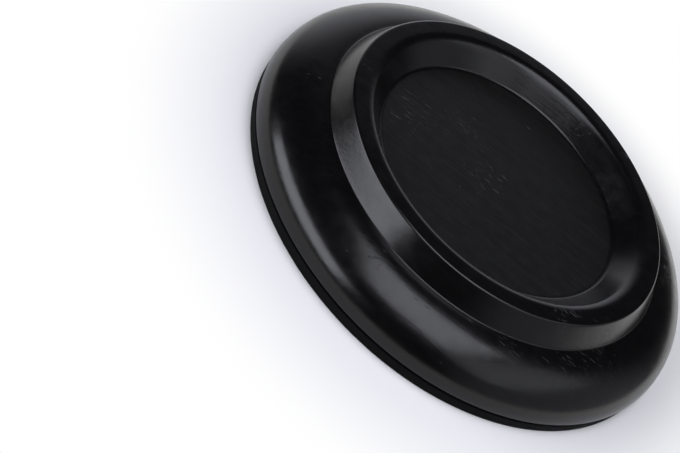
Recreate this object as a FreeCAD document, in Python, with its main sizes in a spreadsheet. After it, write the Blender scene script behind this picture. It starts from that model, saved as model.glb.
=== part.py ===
import FreeCAD, Part
import math
import os
import Sketcher
from enum import IntEnum, auto

# Castor cup: a wooden cup turned on a lathe, with a thin foam pad glued under its base.
# Millimetres. The axis is Z and the pad's underside lies on z = 0.
# The half section runs from the base centre out to the rim, over the flange, up the ring,
# across its land, down the recess wall and back along the recess floor to the axis.

# Driving sizes, each with what it measures
SIZES = {
    "outer_diameter": (140.0, "across the flange at its widest"),
    "wood_height": (19.0, "board that the cup is turned from"),
    "base_edge_run": (0.6, "how far the eased lower edge of the wood draws in"),
    "rim_height": (1.0, "wooden base up to the widest level of the flange"),
    "flange_width": (15.5, "rim to foot of ring, measured flat"),
    "flange_side_radius": (9.2, "tighter curve of the flange, at its rim"),
    "ring_height": (6.5, "foot of ring up to its land"),
    "ring_wall_run": (3.6, "how far the outer wall of the ring leans in"),
    "land_width": (5.9, "flat top of the ring, between its sharp corners"),
    "recess_depth": (6.6, "land down to the recess floor"),
    "recess_wall_run": (6.0, "how far the recess wall leans in"),
    "shoulder_radius": (0.9, "outer edge of the land"),
    "mouth_radius": (4.0, "inner edge of the land"),
    "floor_radius": (1.5, "inside corner around the recess floor"),
    "pad_thickness": (3.0, "foam pad"),
    "pad_inset": (0.2, "edge of the pad inside the widest level of the flange"),
}

# The side curve of the flange takes up at most this share of the flange's width and of its rise
SIDE_CURVE_LIMIT = 0.9

# Two edges within this distance are the same edge
SAME_PLACE = 1e-4

# The sketch's own origin and upright axis
ORIGIN, UPRIGHT_AXIS = -1, -2


class Spot(IntEnum):
    """Points of a line or curve in a sketch, numbered from one."""

    START = auto()
    END = auto()
    CENTRE = auto()


START, END, CENTRE = Spot


def make_sheet(doc):
    """Write the driving sizes into a sheet with one alias for each."""
    sheet = doc.addObject("Spreadsheet::Sheet", "sizes")
    for row, (alias, (value, meaning)) in enumerate(SIZES.items(), start=1):
        sheet.set(f"A{row}", alias)
        sheet.set(f"B{row}", str(value))
        sheet.set(f"C{row}", meaning)
        sheet.setAlias(f"B{row}", alias)
    doc.recompute()
    return sheet


def new_body(doc, label):
    body = doc.addObject("PartDesign::Body", label)
    body.Label = label
    return body


def new_sketch(body, name, role):
    """Start a sketch on one of the body's own origin planes."""
    plane = next(feature for feature in body.Origin.OriginFeatures if feature.Role == role)
    sketch = body.newObject("Sketcher::SketchObject", name)
    sketch.AttachmentSupport = [(plane, "")]
    sketch.MapMode = "FlatFace"
    return sketch


def dimension(sketch, name, formula, kind, *places):
    """Add a dimension at the size that the formula gives, and keep it tied to that formula."""
    size = float(sketch.evalExpression(formula))
    index = sketch.addConstraint(Sketcher.Constraint(kind, *places, size))
    sketch.renameConstraint(index, name)
    sketch.setExpression(f"Constraints.{name}", formula)


def section_corners(sheet):
    """Sharp corners of the half section as (radius, height), where the sheet now puts them."""
    base = sheet.get("pad_thickness")
    land = base + sheet.get("wood_height")
    rim = sheet.get("outer_diameter") / 2
    foot = rim - sheet.get("flange_width")
    shoulder = foot - sheet.get("ring_wall_run")
    mouth = shoulder - sheet.get("land_width")
    floor_edge = mouth - sheet.get("recess_wall_run")
    floor = land - sheet.get("recess_depth")
    return {
        "base_centre": (0.0, base),
        "base_edge": (rim - sheet.get("base_edge_run"), base),
        "rim": (rim, base + sheet.get("rim_height")),
        "foot": (foot, land - sheet.get("ring_height")),
        "shoulder": (shoulder, land),
        "mouth": (mouth, land),
        "floor_edge": (floor_edge, floor),
        "floor_centre": (0.0, floor),
    }


def add_line(sketch, start, end):
    segment = Part.LineSegment(FreeCAD.Vector(*start, 0), FreeCAD.Vector(*end, 0))
    return sketch.addGeometry(segment, False)


def add_arc(sketch, centre, radius, first_angle, last_angle):
    circle = Part.Circle(FreeCAD.Vector(*centre, 0), FreeCAD.Vector(0, 0, 1), radius)
    return sketch.addGeometry(Part.ArcOfCircle(circle, first_angle, last_angle), False)


def add_flange_curve(sketch, sheet, rim, foot):
    """Draw the flange as two curves that run into each other: a tight one at the rim, upright where it
    starts, and a wider one over the crown, level where it meets the foot of the ring."""
    width = rim[0] - foot[0]
    rise = foot[1] - rim[1]
    side_radius = min(sheet.get("flange_side_radius"), SIDE_CURVE_LIMIT * width, SIDE_CURVE_LIMIT * rise)
    inner_width = width - side_radius
    crown_radius = (inner_width**2 + rise**2 - side_radius**2) / (2 * (rise - side_radius))
    side_centre = (rim[0] - side_radius, rim[1])
    crown_centre = (foot[0], foot[1] - crown_radius)
    meeting_angle = math.atan2(side_centre[1] - crown_centre[1], inner_width)
    side = add_arc(sketch, side_centre, side_radius, 0.0, meeting_angle)
    crown = add_arc(sketch, crown_centre, crown_radius, meeting_angle, math.pi / 2)
    return side, crown


def draw_section(body, sheet):
    """Draw the cup's half section, closed along the axis."""
    at = section_corners(sheet)
    sketch = new_sketch(body, "half_section", "XZ_Plane")

    base = add_line(sketch, at["base_centre"], at["base_edge"])
    lower_edge = add_line(sketch, at["base_edge"], at["rim"])
    flange_side, flange_crown = add_flange_curve(sketch, sheet, at["rim"], at["foot"])
    ring_wall = add_line(sketch, at["foot"], at["shoulder"])
    land = add_line(sketch, at["shoulder"], at["mouth"])
    recess_wall = add_line(sketch, at["mouth"], at["floor_edge"])
    floor = add_line(sketch, at["floor_edge"], at["floor_centre"])
    axis = add_line(sketch, at["floor_centre"], at["base_centre"])

    outline = [base, lower_edge, flange_side, flange_crown, ring_wall, land, recess_wall, floor, axis]
    for piece, following in zip(outline, outline[1:] + outline[:1]):
        meeting = "Tangent" if piece == flange_side else "Coincident"
        sketch.addConstraint(Sketcher.Constraint(meeting, piece, END, following, START))
    for level in (base, land, floor):
        sketch.addConstraint(Sketcher.Constraint("Horizontal", level))
    sketch.addConstraint(Sketcher.Constraint("Vertical", axis))
    sketch.addConstraint(Sketcher.Constraint("PointOnObject", base, START, UPRIGHT_AXIS))
    sketch.addConstraint(Sketcher.Constraint("Horizontal", flange_side, CENTRE, flange_side, START))
    sketch.addConstraint(Sketcher.Constraint("Vertical", flange_crown, CENTRE, flange_crown, END))

    width_limit = f"{SIDE_CURVE_LIMIT} * sizes.flange_width"
    rise_limit = f"{SIDE_CURVE_LIMIT} * (sizes.wood_height - sizes.ring_height - sizes.rim_height)"
    side_radius = f"min(sizes.flange_side_radius; {width_limit}; {rise_limit})"
    across = "DistanceX"
    up = "DistanceY"
    dimension(sketch, "base_level", "sizes.pad_thickness", up, ORIGIN, START, base, START)
    dimension(sketch, "wood_height", "sizes.wood_height", up, base, END, land, START)
    dimension(sketch, "rim_reach", "sizes.outer_diameter / 2", across, base, START, flange_side, START)
    dimension(sketch, "edge_run", "sizes.base_edge_run", across, lower_edge, START, lower_edge, END)
    dimension(sketch, "rim_height", "sizes.rim_height", up, lower_edge, START, lower_edge, END)
    dimension(sketch, "side_radius", side_radius, "Radius", flange_side)
    dimension(sketch, "flange_width", "sizes.flange_width", across, flange_crown, END, flange_side, START)
    dimension(sketch, "ring_height", "sizes.ring_height", up, ring_wall, START, ring_wall, END)
    dimension(sketch, "ring_run", "sizes.ring_wall_run", across, ring_wall, END, ring_wall, START)
    dimension(sketch, "land_width", "sizes.land_width", across, land, END, land, START)
    dimension(sketch, "depth", "sizes.recess_depth", up, recess_wall, END, recess_wall, START)
    dimension(sketch, "recess_run", "sizes.recess_wall_run", across, recess_wall, END, recess_wall, START)
    return sketch


def edge_at(shape, radius, height):
    """Name of the round edge at one corner of the section."""
    for number, edge in enumerate(shape.Edges, start=1):
        if isinstance(edge.Curve, Part.Circle):
            same_radius = abs(edge.Curve.Radius - radius) < SAME_PLACE
            same_height = abs(edge.Curve.Center.z - height) < SAME_PLACE
            if same_radius and same_height:
                return f"Edge{number}"
    raise ValueError(f"no edge at radius {radius}, height {height}")


def round_corner(body, sheet, corner, size):
    """Round one turned corner by a radius from the sheet."""
    base = body.Tip
    edge = edge_at(base.Shape, *section_corners(sheet)[corner])
    fillet = body.newObject("PartDesign::Fillet", f"{corner}_round")
    fillet.Base = (base, [edge])
    fillet.setExpression("Radius", f"sizes.{size}")
    body.Document.recompute()


def make_wooden_cup(doc, sheet):
    """Turn the cup: one revolved section, then its corners."""
    body = new_body(doc, "wooden_cup")
    section = draw_section(body, sheet)
    turned = body.newObject("PartDesign::Revolution", "turned_form")
    turned.Profile = section
    turned.ReferenceAxis = (section, ["V_Axis"])
    turned.Angle = 360.0
    doc.recompute()
    round_corner(body, sheet, "shoulder", "shoulder_radius")
    round_corner(body, sheet, "mouth", "mouth_radius")
    round_corner(body, sheet, "floor_edge", "floor_radius")
    return body


def make_base_pad(doc):
    """Cut the pad: a plain disc under the whole base."""
    body = new_body(doc, "base_pad")
    sketch = new_sketch(body, "pad_outline", "XY_Plane")
    circle = Part.Circle(FreeCAD.Vector(0, 0, 0), FreeCAD.Vector(0, 0, 1), 1.0)
    outline = sketch.addGeometry(circle, False)
    sketch.addConstraint(Sketcher.Constraint("Coincident", outline, CENTRE, ORIGIN, START))
    dimension(sketch, "pad_reach", "sizes.outer_diameter / 2 - sizes.pad_inset", "Radius", outline)
    pad = body.newObject("PartDesign::Pad", "pad_sheet")
    pad.Profile = sketch
    pad.setExpression("Length", "sizes.pad_thickness")
    doc.recompute()
    return body


def check(doc, bodies):
    """Stop if any object failed, or a sub-part is not one sound solid."""
    for item in doc.Objects:
        if "Invalid" in item.State or "Error" in item.State:
            raise RuntimeError(f"{item.Label} failed: {item.State}")
    for body in bodies:
        shape = body.Shape
        if shape.isNull() or not shape.isValid() or len(shape.Solids) != 1:
            raise RuntimeError(f"{body.Label} is not one sound solid")


def main():
    doc = FreeCAD.newDocument("castor_cup")
    sheet = make_sheet(doc)
    bodies = [make_wooden_cup(doc, sheet), make_base_pad(doc)]
    doc.recompute()
    check(doc, bodies)
    os.makedirs("parts", exist_ok=True)
    for body in bodies:
        body.Shape.exportStep(f"parts/{body.Label}.step")
        box = body.Shape.optimalBoundingBox()
        size = f"{box.XLength:.2f} across, {box.ZLength:.2f} high"
        print(f"{body.Label}: {body.Shape.Volume:.0f} mm3, {size}")


main()
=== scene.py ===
import math

import bpy
import numpy as np
from mathutils import Matrix, Vector, noise


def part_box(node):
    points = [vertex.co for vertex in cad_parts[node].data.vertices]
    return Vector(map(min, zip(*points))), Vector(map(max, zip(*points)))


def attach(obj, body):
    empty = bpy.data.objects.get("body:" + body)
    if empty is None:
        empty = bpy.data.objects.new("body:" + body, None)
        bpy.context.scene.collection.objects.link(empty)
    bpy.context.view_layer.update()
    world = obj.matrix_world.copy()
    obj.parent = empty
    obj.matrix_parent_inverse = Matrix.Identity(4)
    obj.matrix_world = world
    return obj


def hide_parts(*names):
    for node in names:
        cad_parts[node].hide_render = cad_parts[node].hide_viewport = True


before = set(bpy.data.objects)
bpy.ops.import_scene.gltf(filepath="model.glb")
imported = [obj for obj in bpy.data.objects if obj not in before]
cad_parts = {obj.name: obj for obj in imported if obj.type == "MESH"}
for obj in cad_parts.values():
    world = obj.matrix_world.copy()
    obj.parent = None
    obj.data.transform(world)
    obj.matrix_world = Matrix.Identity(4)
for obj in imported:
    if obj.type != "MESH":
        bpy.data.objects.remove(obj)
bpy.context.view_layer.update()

MM = 0.001

# Section of the cup in millimetres, as the solids have it
CUP_LOW, CUP_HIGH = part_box("wooden_cup")
PAD_LOW, PAD_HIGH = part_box("base_pad")
OUTER_RADIUS = CUP_HIGH.x / MM
PAD_RADIUS = PAD_HIGH.x / MM
BASE_LEVEL = CUP_LOW.z / MM
LAND_LEVEL = CUP_HIGH.z / MM
RIM_HEIGHT = 1.0
BASE_EDGE_RUN = 0.6
FLANGE_WIDTH = 15.5
FLANGE_SIDE_RADIUS = 9.2
RING_HEIGHT = 6.5
RING_WALL_RUN = 3.6
LAND_WIDTH = 5.9
RECESS_DEPTH = 6.6
RECESS_WALL_RUN = 6.0
SHOULDER_RADIUS = 0.9
MOUTH_RADIUS = 4.0
FLOOR_RADIUS = 1.5

# Finish that the solids leave out: lacquer in sharp corners, a swell of the recess wall, soft foam edges
RIM_SOFTENING = 0.5
FOOT_LACQUER_RADIUS = 0.6
RECESS_WALL_SWELL = math.radians(2.5)
PAD_EDGE_RADIUS = 0.4

# Fineness of the turned meshes
TURNS = 384
CURVE_STEP = math.radians(5)
FLAT_STEP = 1.6
SAME_PLACE = 0.02

# Hand finishing leaves the turned faces a little uneven
WAVE_DEPTH = 0.03
WAVE_LENGTH = 14.0
PAD_WAVE_DEPTH = 0.06
PAD_WAVE_LENGTH = 5.0

# Camera, in millimetres: it rolls, so that the flat cup shows tipped
CAMERA_PLACE = Vector((-23.4, -319.5, 239.2))
CAMERA_TARGET = Vector((-23.4, -55.5, 11.0))
CAMERA_ROLL = math.radians(42.7)
CAMERA_LENS = 74.5

# Colour of the studio light, and how dim the room is away from its pale walls
COOL_WHITE = (0.96, 0.97, 1.05)
ROOM_LEVEL = 0.03

# Floor: half its side, and where it starts and ends its fade to plain white, in metres
FLOOR_HALF = 20.0
FADE_START = 0.069
FADE_END = 0.108

# Direction of the wood's grain in the cup, from +X towards +Y
GRAIN_TURN = math.radians(8)
GRAIN_WANDER = Vector((0.0, 2.5, 2.5))

# Places where open pores gather, in millimetres from the axis, each with its reach
PORE_CLUSTERS = [
    ((-13.0, -59.5), 8.0),
    ((27.0, -50.0), 7.0),
    ((47.0, -33.0), 17.0),
    ((33.0, -32.0), 12.0),
    ((-30.0, -5.0), 12.0),
    ((-19.0, 7.0), 10.0),
    ((-5.0, -2.0), 11.0),
    ((-36.0, 47.0), 12.0),
    ((58.0, 22.0), 11.0),
]

# Edge of the recess floor, which is left rougher than the rest and painted lighter there as a painted sheen,
# and half the width of the change
FLOOR_EDGE = 38.3
FLOOR_EDGE_BLUR = 0.7


def arc(centre, radius, first, last):
    """Points along an arc, both ends included."""
    count = max(2, math.ceil(abs(last - first) / CURVE_STEP) + 1)
    angles = np.linspace(first, last, count)
    return [(centre[0] + radius * math.cos(a), centre[1] + radius * math.sin(a)) for a in angles]


def rounded(before, corner, after, radius):
    """Points of the arc that rounds a corner between two straight runs."""
    corner = Vector(corner)
    to_before = (Vector(before) - corner).normalized()
    to_after = (Vector(after) - corner).normalized()
    half = to_before.angle(to_after) / 2
    centre = corner + (to_before + to_after).normalized() * (radius / math.sin(half))
    first = corner + to_before * (radius / math.tan(half)) - centre
    last = corner + to_after * (radius / math.tan(half)) - centre
    first_angle = math.atan2(first.y, first.x)
    turn = math.atan2(first.cross(last), first.dot(last))
    return arc(centre, radius, first_angle, first_angle + turn)


def subdivided(points):
    """The same outline with doubled points left out and long straight runs cut into short ones."""
    result = [points[0]]
    for end in points[1:]:
        start = result[-1]
        run = math.dist(start, end)
        if run < SAME_PLACE:
            continue
        pieces = max(1, math.ceil(run / FLAT_STEP))
        for i in range(1, pieces + 1):
            share = i / pieces
            result.append((start[0] + (end[0] - start[0]) * share, start[1] + (end[1] - start[1]) * share))
    return result


def recess_wall(mouth):
    """Recess side from the land to the floor: rounded mouth, slightly swelling wall, hollow corner."""
    slope = math.atan2(RECESS_DEPTH, RECESS_WALL_RUN)
    upper = slope - RECESS_WALL_SWELL
    lower = slope + RECESS_WALL_SWELL
    mouth_drop = MOUTH_RADIUS * (1 - math.cos(upper))
    corner_drop = FLOOR_RADIUS * (1 - math.cos(lower))
    wall_radius = (RECESS_DEPTH - mouth_drop - corner_drop) / (math.cos(upper) - math.cos(lower))
    level = math.pi / 2
    start = mouth[0] + MOUTH_RADIUS * math.tan(slope / 2)
    mouth_curve = arc((start, mouth[1] - MOUTH_RADIUS), MOUTH_RADIUS, level, level + upper)
    wall_centre = Vector(mouth_curve[-1]) + wall_radius * Vector((math.sin(upper), -math.cos(upper)))
    wall_curve = arc(wall_centre, wall_radius, level + upper, level + lower)
    corner_centre = Vector(wall_curve[-1]) + FLOOR_RADIUS * Vector((-math.sin(lower), math.cos(lower)))
    corner_curve = arc(corner_centre, FLOOR_RADIUS, lower - level, -level)
    return mouth_curve + wall_curve + corner_curve


def cup_section():
    """Half section of the cup, from the base centre over the flange and ring to the recess floor's centre."""
    rim_level = BASE_LEVEL + RIM_HEIGHT
    foot = (OUTER_RADIUS - FLANGE_WIDTH, LAND_LEVEL - RING_HEIGHT)
    shoulder = (foot[0] - RING_WALL_RUN, LAND_LEVEL)
    mouth = (shoulder[0] - LAND_WIDTH, LAND_LEVEL)
    floor_centre = (0.0, LAND_LEVEL - RECESS_DEPTH)
    base_edge = (OUTER_RADIUS - BASE_EDGE_RUN, BASE_LEVEL)

    rise = foot[1] - rim_level
    inner_width = FLANGE_WIDTH - FLANGE_SIDE_RADIUS
    crown_radius = (inner_width**2 + rise**2 - FLANGE_SIDE_RADIUS**2) / (2 * (rise - FLANGE_SIDE_RADIUS))
    side_centre = (OUTER_RADIUS - FLANGE_SIDE_RADIUS, rim_level)
    crown_centre = (foot[0], foot[1] - crown_radius)
    meeting = math.atan2(side_centre[1] - crown_centre[1], inner_width)
    side = arc(side_centre, FLANGE_SIDE_RADIUS, math.asin(RIM_SOFTENING / FLANGE_SIDE_RADIUS), meeting)
    level_at_foot = (foot[0] + 1.0, foot[1])
    lacquer_at_foot = rounded(level_at_foot, foot, shoulder, FOOT_LACQUER_RADIUS)
    foot_reach = lacquer_at_foot[0][0] - foot[0]
    crown = arc(crown_centre, crown_radius, meeting, math.acos(foot_reach / crown_radius))

    outline = [(0.0, BASE_LEVEL), base_edge]
    outline += rounded(base_edge, (OUTER_RADIUS, rim_level), (OUTER_RADIUS, rim_level + 1.0), RIM_SOFTENING)
    outline += side
    outline += crown[1:]
    outline += lacquer_at_foot
    outline += rounded(foot, shoulder, mouth, SHOULDER_RADIUS)
    outline += recess_wall(mouth)
    outline.append(floor_centre)
    return subdivided(outline)


def pad_section():
    """Half section of the pad, from its underside's centre to its top's centre."""
    under = (0.0, PAD_LOW.z / MM)
    lower = (PAD_RADIUS, PAD_LOW.z / MM)
    upper = (PAD_RADIUS, PAD_HIGH.z / MM)
    top = (0.0, PAD_HIGH.z / MM)
    outline = [under]
    outline += rounded(under, lower, upper, PAD_EDGE_RADIUS)
    outline += rounded(lower, upper, top, PAD_EDGE_RADIUS)
    outline.append(top)
    return subdivided(outline)


def turned(name, section):
    """Turn a half section about Z into a closed mesh, in metres."""
    rings = section[1:-1]
    angles = [2 * math.pi * i / TURNS for i in range(TURNS)]
    points = [(r * math.cos(a) * MM, r * math.sin(a) * MM, z * MM) for r, z in rings for a in angles]
    first_pole = len(points)
    last_pole = first_pole + 1
    points.append((0.0, 0.0, section[0][1] * MM))
    points.append((0.0, 0.0, section[-1][1] * MM))
    faces = []
    last_ring = (len(rings) - 1) * TURNS
    for i in range(TURNS):
        j = (i + 1) % TURNS
        faces.append((first_pole, j, i))
        faces.append((last_pole, last_ring + i, last_ring + j))
        for ring in range(len(rings) - 1):
            low = ring * TURNS
            high = low + TURNS
            faces.append((low + i, low + j, high + j, high + i))
    mesh = bpy.data.meshes.new(name)
    mesh.from_pydata(points, [], faces)
    mesh.validate()
    mesh.shade_smooth()
    piece = bpy.data.objects.new(name, mesh)
    bpy.context.scene.collection.objects.link(piece)
    return piece


def uneven(piece, depth, length, seed):
    """Press the faces in here and there, so that they keep inside their own outline."""
    mesh = piece.data
    normals = [vertex.normal.copy() for vertex in mesh.vertices]
    for vertex, normal in zip(mesh.vertices, normals):
        wave = noise.noise(vertex.co / (length * MM) + Vector((seed, 0.0, 0.0)))
        vertex.co -= normal * (depth * MM) * (0.5 + 0.5 * wave)
    mesh.update()


class Nodes:
    """Short names for building one node tree."""

    def __init__(self, tree):
        self.tree = tree

    def add(self, kind, inputs=None, **settings):
        node = self.tree.nodes.new(kind)
        for name, value in settings.items():
            setattr(node, name, value)
        for name, value in (inputs or {}).items():
            self.set(node.inputs[name], value)
        return node

    def set(self, socket, value):
        if isinstance(value, bpy.types.NodeSocket):
            self.tree.links.new(value, socket)
        else:
            socket.default_value = value

    def math(self, operation, first, second):
        return self.add("ShaderNodeMath", {0: first, 1: second}, operation=operation).outputs[0]

    def ramp(self, value, low, high, to_low=0.0, to_high=1.0):
        """Smooth step of a value from one range to another."""
        inputs = {"Value": value, "From Min": low, "From Max": high, "To Min": to_low, "To Max": to_high}
        return self.add("ShaderNodeMapRange", inputs, interpolation_type="SMOOTHSTEP").outputs["Result"]

    def mix(self, share, first, second):
        node = self.add("ShaderNodeMix", data_type="RGBA")
        self.set(node.inputs["Factor"], share)
        self.set(node.inputs["A"], first)
        self.set(node.inputs["B"], second)
        return node.outputs["Result"]

    def noise(self, place, detail=2.0):
        inputs = {"Vector": place, "Scale": 1.0, "Detail": detail}
        return self.add("ShaderNodeTexNoise", inputs).outputs["Fac"]

    def vector(self, operation, first, second=(0.0, 0.0, 0.0)):
        return self.add("ShaderNodeVectorMath", {0: first, 1: second}, operation=operation)


def new_material(name):
    material = bpy.data.materials.new(name)
    material.use_nodes = True
    material.node_tree.nodes.clear()
    return material, Nodes(material.node_tree)


def scaled_place(nodes, place, size):
    """Place divided by a size in millimetres along each axis."""
    scale = [1 / (length * MM) for length in size]
    return nodes.add("ShaderNodeMapping", {"Vector": place, "Scale": scale}).outputs["Vector"]


def pores(nodes, grain, cell, reach, density):
    """Mask of the wood's pores: thin tubes along the grain, one in some of the cells."""
    place = scaled_place(nodes, grain, cell)
    cells = nodes.add("ShaderNodeTexVoronoi", {"Vector": place, "Scale": 1.0, "Randomness": 1.0})
    tube = nodes.ramp(cells.outputs["Distance"], reach, reach * 0.4)
    chance = nodes.add("ShaderNodeSeparateColor", {"Color": cells.outputs["Color"]}).outputs["Red"]
    chosen = nodes.math("LESS_THAN", chance, density)
    return nodes.math("MULTIPLY", tube, chosen)


def lacquered_wood():
    """Satin black lacquer over open-pored wood."""
    material, nodes = new_material("black_lacquered_wood")
    place = nodes.add("ShaderNodeTexCoord").outputs["Object"]
    turn = nodes.add("ShaderNodeMapping", {"Vector": place, "Rotation": (0.0, 0.0, -GRAIN_TURN)})
    straight = turn.outputs["Vector"]

    # The grain wanders a little from side to side
    wander_place = scaled_place(nodes, straight, (16.0, 9.0, 9.0))
    wander = nodes.add("ShaderNodeTexNoise", {"Vector": wander_place, "Scale": 1.0})
    shift = nodes.vector("SUBTRACT", wander.outputs["Color"], (0.5, 0.5, 0.5))
    sideways = nodes.vector("MULTIPLY", shift.outputs[0], GRAIN_WANDER * MM)
    grain = nodes.vector("ADD", straight, sideways.outputs[0]).outputs[0]

    # Growth bands and clusters gather the pores
    around = nodes.vector("MULTIPLY", place, (1.0, 1.0, 0.0)).outputs[0]
    bands = nodes.noise(scaled_place(nodes, grain, (30.0, 9.0, 9.0)))
    gathered = nodes.ramp(bands, 0.66, 0.78)
    for (x, y), reach in PORE_CLUSTERS:
        centre = (x * MM, y * MM, 0.0)
        away = nodes.vector("DISTANCE", around, centre).outputs["Value"]
        gathered = nodes.math("MAXIMUM", gathered, nodes.ramp(away, reach * MM, 0.0))
    density = nodes.math("MULTIPLY", gathered, 0.9)
    wide_pore = pores(nodes, grain, (7.0, 0.75, 0.75), 0.24, density)
    fine_pore = pores(nodes, grain, (4.0, 0.4, 0.4), 0.25, density)
    pore = nodes.math("MAXIMUM", wide_pore, nodes.math("MULTIPLY", fine_pore, 0.5))

    # Long faint streaks of grain under the lacquer, its slight ripple and its fine tooth
    streaks = nodes.noise(scaled_place(nodes, grain, (22.0, 0.7, 0.7)), detail=4.0)
    ripple = nodes.noise(scaled_place(nodes, place, (4.0, 4.0, 4.0)))
    tooth = nodes.noise(scaled_place(nodes, place, (0.3, 0.3, 0.3)), detail=3.0)

    # A few specks of dust
    speck = pores(nodes, place, (8.0, 8.0, 8.0), 0.03, 0.15)

    # The recess floor is rougher than the polished rest, and its black is painted lighter there as a painted
    # sheen
    radius = nodes.vector("LENGTH", around).outputs["Value"]
    dull_floor_and_sheen = nodes.ramp(radius, (FLOOR_EDGE + FLOOR_EDGE_BLUR) * MM, (FLOOR_EDGE - FLOOR_EDGE_BLUR) * MM)

    black = (0.0014, 0.0014, 0.0016, 1.0)
    softer_black = (0.0026, 0.0026, 0.0028, 1.0)
    # The recess floor's two blacks are lighter than the rest: a painted sheen
    sheen_floor_black = (0.0050, 0.0050, 0.0050, 1.0)
    softer_sheen_floor_black = (0.0082, 0.0082, 0.0082, 1.0)
    # The pores are real, but their colours are lighter than the black around them: painted glints of the pore
    # edges, paler still on the recess floor
    pore_glint = (0.0050, 0.0050, 0.0054, 1.0)
    floor_pore_glint = (0.026, 0.026, 0.026, 1.0)
    dust = (0.06, 0.06, 0.06, 1.0)
    streak = nodes.ramp(streaks, 0.35, 0.7)
    polished = nodes.mix(streak, black, softer_black)
    sheen_floor_body = nodes.mix(streak, sheen_floor_black, softer_sheen_floor_black)
    body = nodes.mix(dull_floor_and_sheen, polished, sheen_floor_body)
    pore_glint_colour = nodes.mix(dull_floor_and_sheen, pore_glint, floor_pore_glint)
    colour = nodes.mix(speck, nodes.mix(pore, body, pore_glint_colour), dust)

    satin = nodes.ramp(ripple, 0.3, 0.7, 0.20, 0.25)
    roughness = nodes.math("ADD", satin, nodes.math("MULTIPLY", pore, 0.05))
    roughness = nodes.math("ADD", roughness, nodes.math("MULTIPLY", dull_floor_and_sheen, 0.12))

    height = nodes.math("MULTIPLY", pore, -0.055)
    height = nodes.math("ADD", height, nodes.math("MULTIPLY", streaks, 0.017))
    height = nodes.math("ADD", height, nodes.math("MULTIPLY", ripple, 0.012))
    height = nodes.math("ADD", height, nodes.math("MULTIPLY", tooth, 0.005))
    bump = nodes.add("ShaderNodeBump", {"Height": height, "Distance": MM, "Strength": 1.0})

    shader = nodes.add("ShaderNodeBsdfPrincipled", {
        "Base Color": colour,
        "Roughness": roughness,
        "IOR": 1.4,
        "Normal": bump.outputs["Normal"],
    })
    nodes.add("ShaderNodeOutputMaterial", {"Surface": shader.outputs["BSDF"]})
    return material


def cut_foam():
    """Matt black foam with a fine cut face."""
    material, nodes = new_material("black_cut_foam")
    place = nodes.add("ShaderNodeTexCoord").outputs["Object"]
    cell_place = scaled_place(nodes, place, (0.35, 0.35, 0.35))
    cell = nodes.add("ShaderNodeTexVoronoi", {"Vector": cell_place, "Scale": 1.0}).outputs["Distance"]
    patches = nodes.noise(scaled_place(nodes, place, (6.0, 6.0, 3.0)), detail=3.0)
    dark = (0.001, 0.001, 0.0011, 1.0)
    pale = (0.003, 0.003, 0.0032, 1.0)
    share = nodes.math("MULTIPLY", nodes.ramp(cell, 0.1, 0.7), nodes.ramp(patches, 0.3, 0.7, 0.4, 1.0))
    colour = nodes.mix(share, dark, pale)
    roughness = nodes.ramp(patches, 0.3, 0.7, 0.72, 0.85)
    height = nodes.math("ADD", nodes.math("MULTIPLY", cell, 0.05), nodes.math("MULTIPLY", patches, 0.05))
    bump = nodes.add("ShaderNodeBump", {"Height": height, "Distance": MM, "Strength": 1.0})
    shader = nodes.add("ShaderNodeBsdfPrincipled", {
        "Base Color": colour,
        "Roughness": roughness,
        "IOR": 1.2,
        "Normal": bump.outputs["Normal"],
    })
    nodes.add("ShaderNodeOutputMaterial", {"Surface": shader.outputs["BSDF"]})
    return material


def white_floor():
    """White paper: it takes the shadow near the object and fades to plain white further out."""
    material, nodes = new_material("white_floor")
    place = nodes.add("ShaderNodeTexCoord").outputs["Object"]
    reach = nodes.vector("LENGTH", place).outputs["Value"]
    away = nodes.ramp(reach, FADE_START, FADE_END)
    light_path = nodes.add("ShaderNodeLightPath")
    seen = nodes.math("MAXIMUM", light_path.outputs["Is Camera Ray"], light_path.outputs["Is Glossy Ray"])
    seen = nodes.math("MAXIMUM", seen, light_path.outputs["Is Transmission Ray"])
    paper = nodes.add("ShaderNodeBsdfDiffuse", {"Color": (0.90, 0.90, 0.90, 1.0)})
    white = nodes.add("ShaderNodeEmission", {"Color": (1.0, 1.0, 1.0, 1.0), "Strength": 1.0})
    share = nodes.math("MULTIPLY", away, seen)
    mixed = nodes.add("ShaderNodeMixShader", {"Fac": share, 1: paper.outputs[0], 2: white.outputs[0]})
    nodes.add("ShaderNodeOutputMaterial", {"Surface": mixed.outputs[0]})
    return material


def direction(azimuth, elevation):
    """Unit vector at an azimuth from +X towards +Y and an elevation above the floor, in degrees."""
    azimuth = math.radians(azimuth)
    elevation = math.radians(elevation)
    level = math.cos(elevation)
    return Vector((level * math.cos(azimuth), level * math.sin(azimuth), math.sin(elevation)))


def softbox(name, place, target, width, height, radiance):
    """Rectangular soft light that faces a target; radiance 1 is as bright as white paper in full light."""
    data = bpy.data.lights.new(name, "AREA")
    data.shape = "RECTANGLE"
    data.size = width
    data.size_y = height
    data.energy = radiance * math.pi * width * height
    data.color = COOL_WHITE
    lamp = bpy.data.objects.new(name, data)
    bpy.context.scene.collection.objects.link(lamp)
    lamp.location = place
    lamp.rotation_euler = (target - place).to_track_quat("-Z", "Y").to_euler()
    lamp.visible_camera = False


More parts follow.
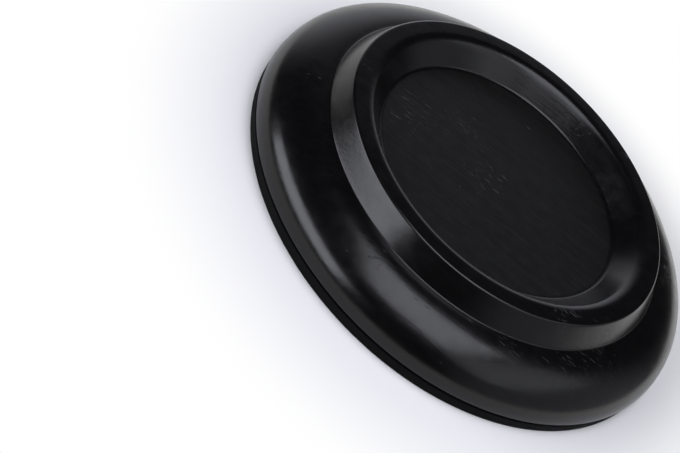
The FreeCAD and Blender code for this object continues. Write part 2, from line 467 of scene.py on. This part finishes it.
def studio_world():
    """Dim room with a pale wall behind the object and a weaker one at its right."""
    world = bpy.data.worlds.new("studio")
    world.use_nodes = True
    world.node_tree.nodes.clear()
    nodes = Nodes(world.node_tree)
    view = nodes.add("ShaderNodeTexCoord").outputs["Generated"]

    def wall(azimuth, elevation, inner, outer, level):
        facing = nodes.vector("DOT_PRODUCT", view, direction(azimuth, elevation))
        inner_cosine = math.cos(math.radians(inner))
        outer_cosine = math.cos(math.radians(outer))
        return nodes.ramp(facing.outputs["Value"], outer_cosine, inner_cosine, 0.0, level)

    behind = wall(108, -5, 15, 43, 0.85)
    right = wall(-5, 12, 25, 55, 0.40)
    room = nodes.math("ADD", nodes.math("ADD", behind, right), ROOM_LEVEL)
    background = nodes.add("ShaderNodeBackground", {"Color": (*COOL_WHITE, 1.0), "Strength": room})
    nodes.add("ShaderNodeOutputWorld", {"Surface": background.outputs[0]})
    bpy.context.scene.world = world


def make_floor():
    far = FLOOR_HALF
    corners = [(-far, -far, 0), (far, -far, 0), (far, far, 0), (-far, far, 0)]
    mesh = bpy.data.meshes.new("floor")
    mesh.from_pydata(corners, [], [(0, 1, 2, 3)])
    floor = bpy.data.objects.new("floor", mesh)
    bpy.context.scene.collection.objects.link(floor)
    floor.data.materials.append(white_floor())


def make_camera():
    data = bpy.data.cameras.new("camera")
    data.lens = CAMERA_LENS
    data.sensor_width = 36.0
    data.clip_start = 0.01
    data.clip_end = 100.0
    camera = bpy.data.objects.new("camera", data)
    bpy.context.scene.collection.objects.link(camera)
    look = (CAMERA_TARGET - CAMERA_PLACE).to_track_quat("-Z", "Y").to_matrix().to_4x4()
    roll = Matrix.Rotation(CAMERA_ROLL, 4, "Z")
    camera.matrix_world = Matrix.Translation(CAMERA_PLACE * MM) @ look @ roll
    bpy.context.scene.camera = camera


# The object
cup = turned("turned_cup", cup_section())
uneven(cup, WAVE_DEPTH, WAVE_LENGTH, 3.0)
cup.data.materials.append(lacquered_wood())
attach(cup, "root")
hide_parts("wooden_cup")

pad = turned("foam_pad", pad_section())
uneven(pad, PAD_WAVE_DEPTH, PAD_WAVE_LENGTH, 11.0)
pad.data.materials.append(cut_foam())
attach(pad, "root")
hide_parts("base_pad")

# The studio
make_floor()
middle = Vector((0.0, 0.0, 0.015))
softbox("left_softbox", direction(-143, 24) * 0.7, middle, 0.84, 0.31, 5.2)
softbox("top_softbox", Vector((0.065, -0.068, 0.42)), Vector((0.065, -0.068, 0.0)), 0.27, 0.31, 3.7)
softbox("right_softbox", direction(-5, 50) * 0.7, middle, 0.60, 0.25, 0.9)
studio_world()
make_camera()
bpy.context.scene.view_settings.view_transform = "Standard"
